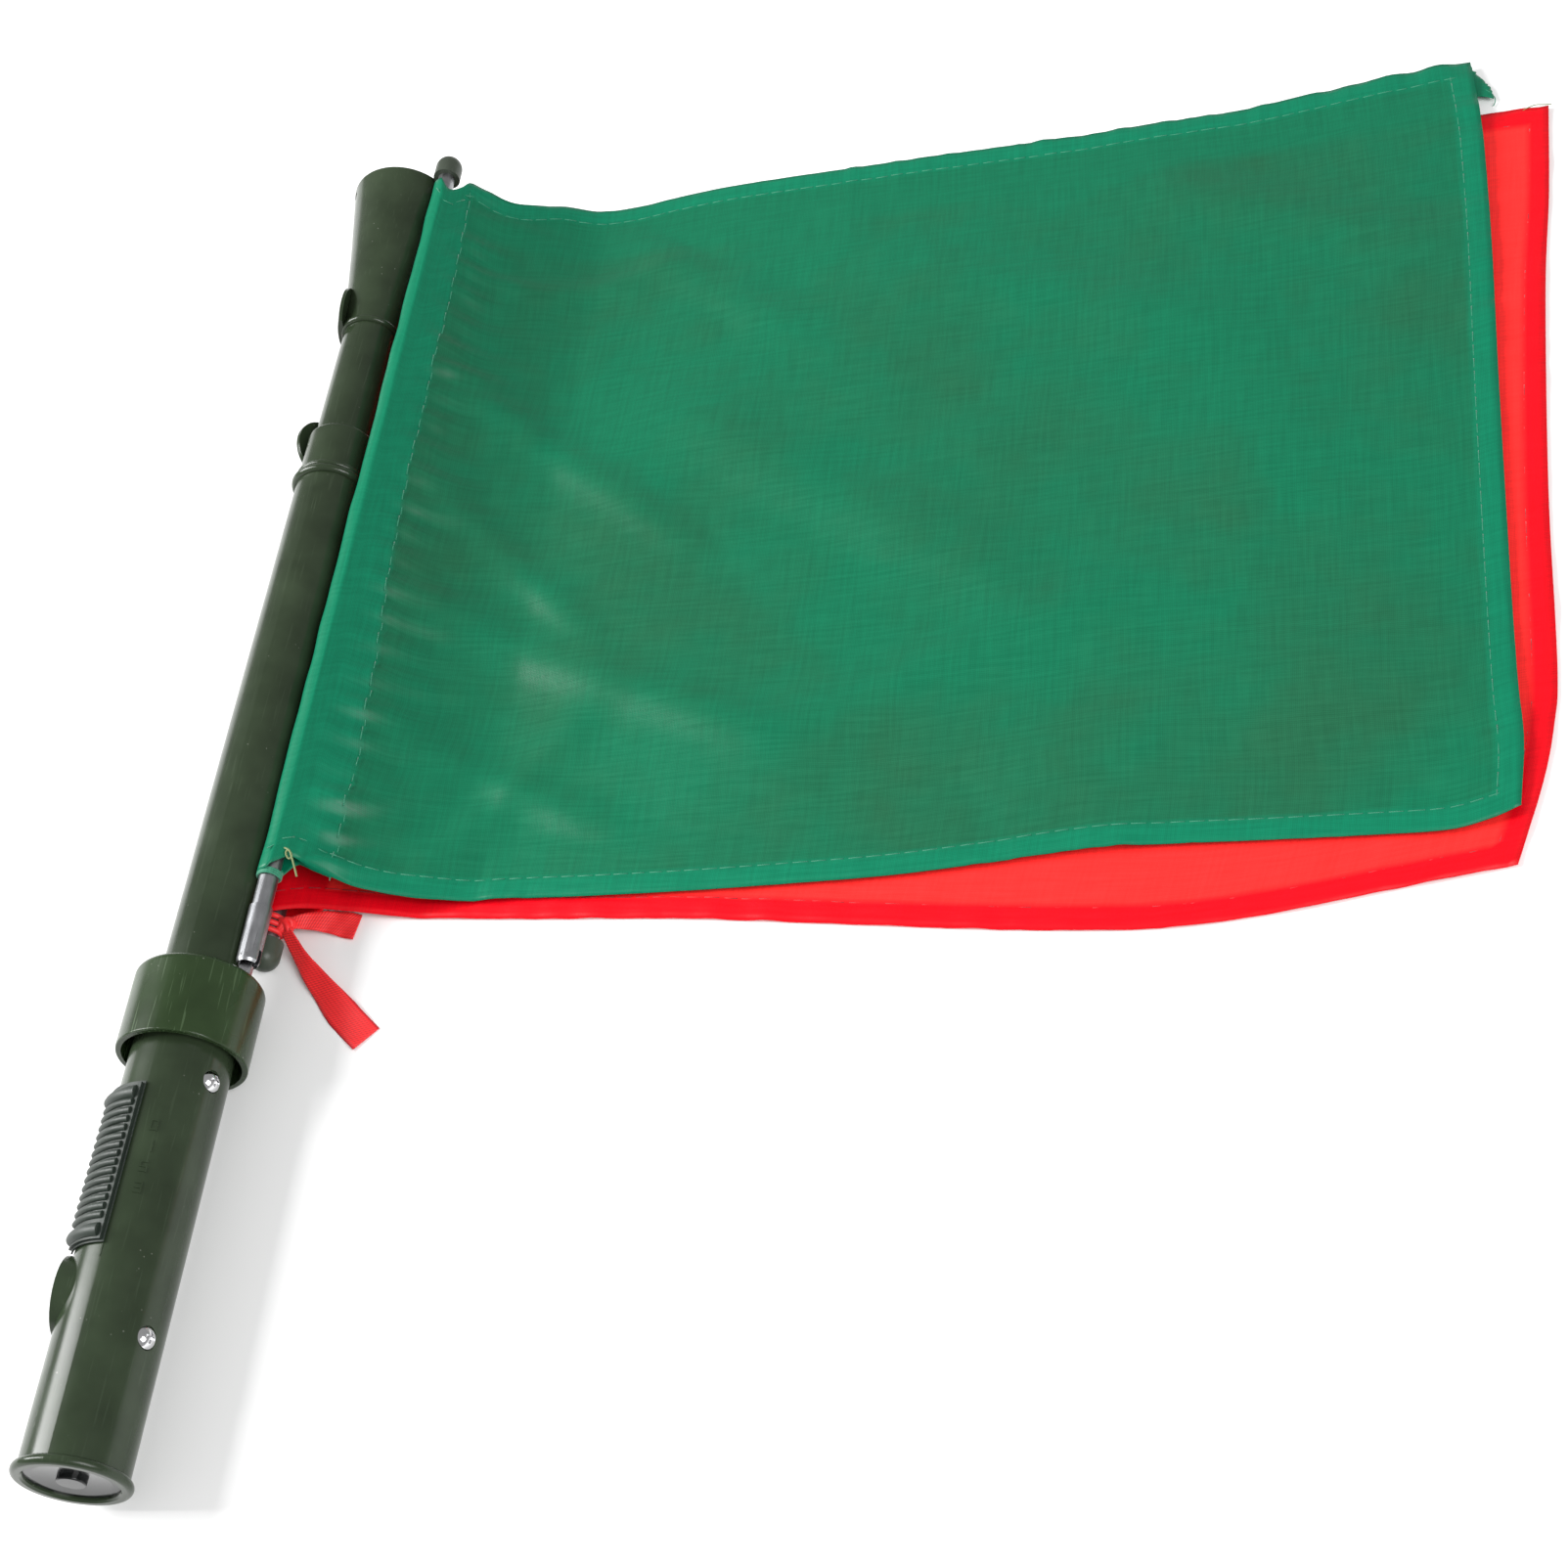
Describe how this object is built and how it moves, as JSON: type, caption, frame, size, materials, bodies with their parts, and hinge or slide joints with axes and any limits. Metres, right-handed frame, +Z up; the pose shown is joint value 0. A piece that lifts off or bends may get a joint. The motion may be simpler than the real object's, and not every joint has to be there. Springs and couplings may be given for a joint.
{
  "type": "hand signal lamp with flags",
  "caption": "Dark olive hand signal lamp with a torch head, thumb slider and side button, and a green and a red flag on hinged side rods.",
  "frame": {"origin": "middle of the lamp's underside in X and Y, on the table it lies on", "axes": "+Y along the lamp from the handle's end to the head, +X towards the flags' free edges, +Z up from the table"},
  "size_m": [0.4258, 0.516, 0.0388],
  "materials": {
    "olive_gloss": "glossy moulded plastic, dark olive",
    "collar_green": "glossy moulded plastic, faint scratches",
    "slider_grey_green": "fine matte grain",
    "screw_steel": "bright plated steel",
    "black_gloss": "glossy",
    "seal_rubber": "matte",
    "spring_steel": "plated",
    "chassis_plastic": "matte",
    "battery_shell": "satin",
    "board_green": "satin",
    "contact_brass": "polished",
    "switch_black": "matte",
    "lead_sleeve": "satin",
    "magnet_steel": "satin",
    "tab_steel": "satin",
    "rod_aluminium": "satin drawn tube",
    "cap_olive": "satin gloss",
    "green_nylon": "thin satin nylon",
    "red_nylon": "thin satin nylon",
    "red_ribbon": "ribbed ribbon",
    "thread_yellow": "twisted thread",
    "lens_clear": "clear moulded",
    "lens_ring_black": "matte",
    "reflector_bright": "vacuum metallised",
    "led_red_plastic": "diffused",
    "led_yellow_plastic": "diffused",
    "led_green_plastic": "diffused"
  },
  "bodies": {
    "handle": {"handle_tube": "olive_gloss", "handle_screws": "screw_steel", "chassis": "chassis_plastic", "battery_cell_rear": "battery_shell", "battery_cell_front": "battery_shell", "front_contact": "spring_steel", "switch_board": "board_green", "switch_contacts": "contact_brass", "button_bezel": "olive_gloss", "button_board": "board_green", "button_switch": "switch_black", "middle_tube": "olive_gloss", "collar_snap_ring": "spring_steel", "ferrule": "olive_gloss", "magnet_cup": "olive_gloss", "holding_magnet": "magnet_steel", "lamp_lead": "lead_sleeve"},
    "slider": {"thumb_slider": "slider_grey_green", "slider_carriage": "chassis_plastic", "slider_wiper": "contact_brass"},
    "side_button": {"side_button": "slider_grey_green"},
    "tail_contact": {"battery_spring": "spring_steel"},
    "tail_cap": {"tail_plug": "black_gloss", "tail_seal": "seal_rubber", "plug_stud": "black_gloss"},
    "collar": {"collar": "collar_green", "green_pivot_tab": "tab_steel"},
    "green_arm": {"green_rod": "rod_aluminium", "green_rod_socket": "rod_aluminium", "green_pivot_pin": "tab_steel", "green_rod_cap": "cap_olive", "green_flag": "green_nylon", "tie_thread": "thread_yellow"},
    "head": {"neck_tube": "olive_gloss", "neck_clip": "spring_steel", "head_cone": "olive_gloss", "lanyard_eyelet": "olive_gloss", "lens": "lens_clear", "lens_ring": "lens_ring_black", "reflector": "reflector_bright", "led_board": "board_green", "led_red": "led_red_plastic", "led_yellow": "led_yellow_plastic", "led_green": "led_green_plastic", "red_pivot_tab": "olive_gloss"},
    "red_arm": {"red_rod": "rod_aluminium", "red_rod_socket": "rod_aluminium", "red_pivot_pin": "tab_steel", "red_rod_cap": "cap_olive", "red_flag": "red_nylon", "tie_band": "red_ribbon", "ribbon_knot": "red_ribbon", "tie_ribbon": "red_ribbon", "ribbon_tail": "red_ribbon"}
  },
  "joints": [
    {"name": "slider_travel", "type": "slide", "parent": "handle", "child": "slider", "axis": [0, 1, 0], "range_m": [0, 0.0156]},
    {"name": "side_button_press", "type": "slide", "parent": "handle", "child": "side_button", "axis": [0.9659, 0, -0.2588], "range_m": [0, 0.0012], "stiffness_N_per_m": 1500},
    {"name": "tail_cap_out", "type": "slide", "parent": "handle", "child": "tail_contact", "axis": [0, -1, 0], "range_m": [0, 0.0046]},
    {"name": "tail_cap_turn", "type": "hinge", "parent": "tail_contact", "child": "tail_cap", "pos_m": [-0.1935, -0.25685, 0.0194], "axis": [0, -1, 0], "range_deg": [0, 1080]},
    {"name": "collar_turn", "type": "hinge", "parent": "handle", "child": "collar", "pos_m": [-0.1935, -0.10465, 0.0194], "axis": [0, -1, 0], "range_deg": [0, 180]},
    {"name": "green_rod_swing", "type": "hinge", "parent": "collar", "child": "green_arm", "pos_m": [-0.17775, -0.09945, 0.0239], "axis": [0, 0, -1], "range_deg": [0, 95]},
    {"name": "head_turn", "type": "hinge", "parent": "handle", "child": "head", "pos_m": [-0.1935, 0.11025, 0.0194], "axis": [0, -1, 0], "range_deg": [-180, 0]},
    {"name": "red_rod_swing", "type": "hinge", "parent": "head", "child": "red_arm", "pos_m": [-0.1779, 0.22195, 0.004], "axis": [0.7013, 0.0599, 0.7104], "range_deg": [0, 90]}
  ],
  "couplings": [
    {"joint": "tail_cap_out", "follows": "tail_cap_turn", "m_per_rad": 0.00023873}
  ]
}
